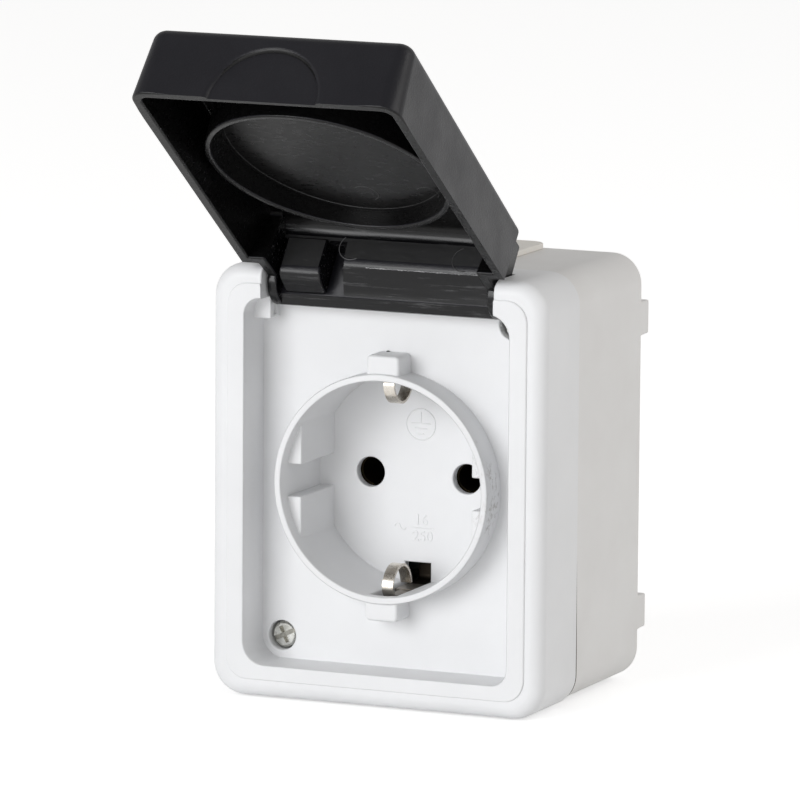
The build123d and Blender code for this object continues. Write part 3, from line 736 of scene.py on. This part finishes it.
def space_curve(name, points, radius, closed, shares=None):
    """Round line through points in millimetres, with a share of the radius at each point."""
    curve = round_line(name, radius, 1)
    spline = curve.splines.new("POLY")
    spline.points.add(len(points) - 1)
    for number, (point, place) in enumerate(zip(spline.points, points)):
        point.co = (*(MM * Vector(place)), 1)
        point.radius = shares[number] if shares else 1.0
    spline.use_cyclic_u = closed
    return curve


def arc(centre, radius, start, end, steps):
    """Points along an arc, in millimetres and degrees."""
    turns = [math.radians(start + (end - start) * step / steps) for step in range(steps + 1)]
    return [(centre[0] + radius * math.cos(turn), centre[1] + radius * math.sin(turn)) for turn in turns]


def closed_circle(radius, steps):
    """Points around a closed circle, in millimetres."""
    return arc((0, 0), radius, 0, 360 - 360 / steps, steps - 1)


FACING_FRONT = Matrix.Rotation(math.radians(90), 4, "X")


def on_well_floor(x, z):
    """Place of flat signs drawn around a point of the plug well's floor, in millimetres."""
    return Matrix.Translation(Vector((x, WELL_FLOOR_Y, z)) * MM) @ FACING_FRONT


def earth_sign():
    """Protective earth sign in a circle, raised on the floor of the well."""
    strokes = [(closed_circle(EARTH_RADIUS, EARTH_STEPS), True)]
    strokes += [(line, False) for line in EARTH_LINES]
    mesh = curve_mesh(stroke_curve("earth_sign", strokes, EARTH_STROKE), on_well_floor(*EARTH_PLACE))
    add_piece("earth_sign", mesh, WHITE, "front_cover")


def rating_figures():
    """Plain current and voltage figures, one above the other, with a line and a wave between."""
    for name, text, x, z in RATINGS:
        letters = bpy.data.curves.new(name, "FONT")
        letters.body = text
        letters.align_x = "CENTER"
        letters.size = FIGURE_SIZE * MM
        letters.extrude = FIGURE_HEIGHT * MM
        letters.bevel_depth = FIGURE_BEVEL * MM
        letters.bevel_resolution = 1
        letters.resolution_u = 4
        add_piece(name, curve_mesh(letters, on_well_floor(x, z)), WHITE, "front_cover")
    crest = arc((-WAVE_RADIUS, 0), WAVE_RADIUS, 180, 0, WAVE_STEPS)
    trough = arc((WAVE_RADIUS, 0), WAVE_RADIUS, 180, 360, WAVE_STEPS)
    strokes = [(RATING_LINE, False), (crest + trough[1:], False)]
    mesh = curve_mesh(
        stroke_curve("rating_line", strokes, RATING_STROKE), on_well_floor(*RATING_LINE_PLACE),
    )
    add_piece("rating_line", mesh, WHITE, "front_cover")


def gate_mark():
    """Torn-off moulding gate, a dark nub at the root of the upper lug."""
    shape = bmesh.new()
    bmesh.ops.create_uvsphere(shape, u_segments=16, v_segments=8, radius=GATE_RADIUS * MM)
    for point in shape.verts:
        point.co.z *= GATE_FLATNESS
        point.co.x *= 1.0 + GATE_UNEVEN * math.sin(GATE_WAVES * point.co.y)
    mesh = bpy.data.meshes.new("gate_mark")
    shape.to_mesh(mesh)
    shape.free()
    mesh.transform(Matrix.Translation(Vector(GATE_PLACE) * MM))
    set_smooth(mesh)
    add_piece("gate_mark", mesh, SEAL, "front_cover")


def seam_line():
    """Gasket edge that shows in the joint at the lower right, thicker towards the corner; its dark colour is
    partly painted shade of the gap.
    """
    drop = [(SEAM_HALF_WIDTH, SEAM_TOP - SEAM_SPACING * step) for step in range(SEAM_POINTS)]
    drop += arc(SEAM_CORNER, SEAM_HALF_WIDTH - SEAM_CORNER[0], 0, SEAM_TURN, SEAM_TURN_STEPS)[1:]
    points = [(x, SEAM_SINK - SEAM_LEVEL, z) for x, z in drop]
    shares = []
    for step in range(len(drop)):
        growing = SEAM_THIN + (1 - SEAM_THIN) * step / SEAM_GROWTH_STEPS
        ending = SEAM_END + (len(drop) - step) / SEAM_END_STEPS
        shares.append(min(1.0, growing, ending))
    mesh = curve_mesh(space_curve("seam_line", points, SEAM_RADIUS, False, shares))
    add_piece("seam_line", mesh, GASKET_EDGE_AND_SHADE, "housing_gasket")


def lid_tree():
    """Search tree over the lid's surface."""
    shape = bmesh.new()
    shape.from_mesh(lid.data)
    tree = BVHTree.FromBMesh(shape)
    shape.free()
    return tree


def lip_burr_and_highlight(tree):
    """Ragged pale line along the lip of the hinge bar, partly a rubbed burr and partly a painted highlight.
    """
    points = []
    shares = []
    for step in range(BURR_POINTS):
        x = BURR_START_X + BURR_SPACING * step
        ragged = math.sin(RAGGED_WAVES[0] * x) * math.sin(RAGGED_WAVES[1] * x + RAGGED_SHIFT)
        start = Vector((x, BURR_FRONT_Y, BURR_LEVEL + BURR_WAVER * ragged)) * MM
        seat = tree.ray_cast(start, Vector((0, 1, 0)), BURR_REACH * MM)[0]
        if seat is not None:
            slow = math.sin(SWELL_WAVES[0] * x + SWELL_SHIFT)
            quick = SWELL_SHARE * math.sin(SWELL_WAVES[1] * x)
            swell = max(0.0, slow + quick) / (1 + SWELL_SHARE)
            points.append(seat / MM)
            shares.append(BURR_THIN + (1 - BURR_THIN) * swell)
    mesh = curve_mesh(space_curve("lip_burr_and_highlight", points, BURR_RADIUS, False, shares))
    add_piece("lip_burr_and_highlight", mesh, PALE_BURR_AND_HIGHLIGHT, "lid")


def ring_foot_line(tree):
    """Fine pale line at the foot of the lid's seal ring, a painted highlight, seated on the surface inside
    the ring.
    """
    opened = Matrix.Rotation(-LID_SWING, 3, "X")
    inward = opened @ Vector((0, -1, 0))
    foot = []
    for x, z in closed_circle(RING_FOOT_RADIUS, FOOT_LINE_STEPS):
        start = hinge + opened @ (Vector((x, RING_RIM_Y, z)) * MM - hinge)
        seat = tree.ray_cast(start, inward, 3 * MARK_AWAY)[0]
        if seat is not None:
            foot.append(seat / MM)
    mesh = curve_mesh(space_curve("ring_foot_line", foot, FOOT_LINE_RADIUS, True))
    add_piece("ring_foot_line", mesh, BLACK_PAINTED_HIGHLIGHT, "lid")


def pin_marks(tree):
    """Faint round pin marks on the inside of the lid, drawn pale as a painted highlight on their edges, each
    seated on the surface behind it.
    """
    for name, middle, outward, radius, start, end in PIN_MARKS:
        out = Vector(outward).normalized()
        seat = tree.ray_cast(Vector(middle) * MM + MARK_AWAY * out, -out, 2 * MARK_AWAY)[0]
        place = Matrix.Translation(seat) @ out.to_track_quat("Z", "Y").to_matrix().to_4x4()
        mark = arc((0, 0), radius, start, end, PIN_LINE_STEPS)
        mesh = curve_mesh(stroke_curve(name, [(mark, False)], PIN_LINE_RADIUS), place)
        add_piece(name, mesh, BLACK_PAINTED_HIGHLIGHT, "lid")


earth_sign()
rating_figures()
gate_mark()
seam_line()
lid_surface = lid_tree()
lip_burr_and_highlight(lid_surface)
ring_foot_line(lid_surface)
pin_marks(lid_surface)


# Camera at the photograph's viewing angle

def look_from(location, target, roll):
    """Place of a camera or lamp that looks at the target, turned about its own line of sight."""
    back = (location - target).normalized()
    right = Vector((0, 0, 1)).cross(back).normalized()
    up = back.cross(right)
    turned_right = math.cos(roll) * right + math.sin(roll) * up
    turned_up = math.cos(roll) * up - math.sin(roll) * right
    turn = Matrix((turned_right, turned_up, back)).transposed()
    return Matrix.Translation(location) @ turn.to_4x4()


camera = placed("camera", bpy.data.cameras.new("camera"))
camera.data.sensor_width = CAMERA_SENSOR
camera.data.lens = CAMERA_LENS
camera.data.clip_end = CAMERA_FAR
camera.matrix_world = look_from(Vector(CAMERA_PLACE), Vector(CAMERA_TARGET), CAMERA_ROLL)
scene.camera = camera


# Floor, world and soft lamps

def floor_material():
    """Plain pale finish that shows white to the camera and in reflections, and keeps shadows."""
    material = bpy.data.materials.new("floor_white")
    material.use_nodes = True
    nodes, links = material.node_tree.nodes, material.node_tree.links
    nodes.clear()
    output = nodes.new("ShaderNodeOutputMaterial")
    diffuse = nodes.new("ShaderNodeBsdfDiffuse")
    diffuse.inputs["Color"].default_value = FLOOR_COLOUR
    glow = nodes.new("ShaderNodeEmission")
    rays = nodes.new("ShaderNodeLightPath")
    seen = rays.outputs["Is Camera Ray"]
    for kind in ("Is Glossy Ray", "Is Transmission Ray"):
        seen = maths(nodes, links, "MAXIMUM", seen, rays.outputs[kind])
    links.new(maths(nodes, links, "MULTIPLY", seen, FLOOR_GLOW), glow.inputs["Strength"])
    both = nodes.new("ShaderNodeAddShader")
    links.new(diffuse.outputs[0], both.inputs[0])
    links.new(glow.outputs[0], both.inputs[1])
    links.new(both.outputs[0], output.inputs["Surface"])
    return material


def studio_floor():
    """Plain pale floor just below the object."""
    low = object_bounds()[0][2] - FLOOR_GAP
    reach = FLOOR_REACH
    corners = [(-reach, -reach, low), (reach, -reach, low), (reach, reach, low), (-reach, reach, low)]
    mesh = bpy.data.meshes.new("floor")
    mesh.from_pydata(corners, [], [(0, 1, 2, 3)])
    mesh.materials.append(floor_material())
    floor = placed("floor", mesh)


def studio_world(dark_side, low, high):
    """Room light that is low towards one direction and high on the opposite side."""
    world = bpy.data.worlds.new("studio")
    scene.world = world
    world.use_nodes = True
    nodes, links = world.node_tree.nodes, world.node_tree.links
    nodes.clear()
    output = nodes.new("ShaderNodeOutputWorld")
    light = nodes.new("ShaderNodeBackground")
    light.inputs["Color"].default_value = ROOM_TINT
    place = nodes.new("ShaderNodeTexCoord")
    facing = nodes.new("ShaderNodeVectorMath")
    facing.operation = "DOT_PRODUCT"
    facing.inputs[1].default_value = Vector(dark_side).normalized()
    links.new(place.outputs["Generated"], facing.inputs[0])
    strength = ramp(nodes, links, facing.outputs["Value"], ROOM_TURN, (high, low))
    links.new(strength, light.inputs["Strength"])
    links.new(light.outputs[0], output.inputs["Surface"])


def softbox(name, place, size, power, tint):
    """Rectangular soft lamp aimed at the object."""
    lamp = placed(name, bpy.data.lights.new(name, "AREA"))
    lamp.data.shape = "RECTANGLE"
    lamp.data.size, lamp.data.size_y = size
    lamp.data.energy = power
    lamp.data.color = tint
    lamp.matrix_world = look_from(Vector(place), Vector(LAMP_TARGET), 0.0)


studio_floor()
studio_world(dark_side=(-0.30, -0.60, 0.74), low=0.33, high=0.68)
softbox("key", place=(-0.72, -1.80, 0.52), size=(1.2, 1.2), power=24.5, tint=(0.985, 0.99, 1.0))
softbox("fill_low", place=(0.25, -1.70, 0.06), size=(1.2, 0.18), power=3.1, tint=(1.0, 1.0, 1.0))
softbox("fill_right", place=(1.35, 0.15, 0.75), size=(0.9, 0.9), power=5.1, tint=(1.0, 0.975, 0.95))
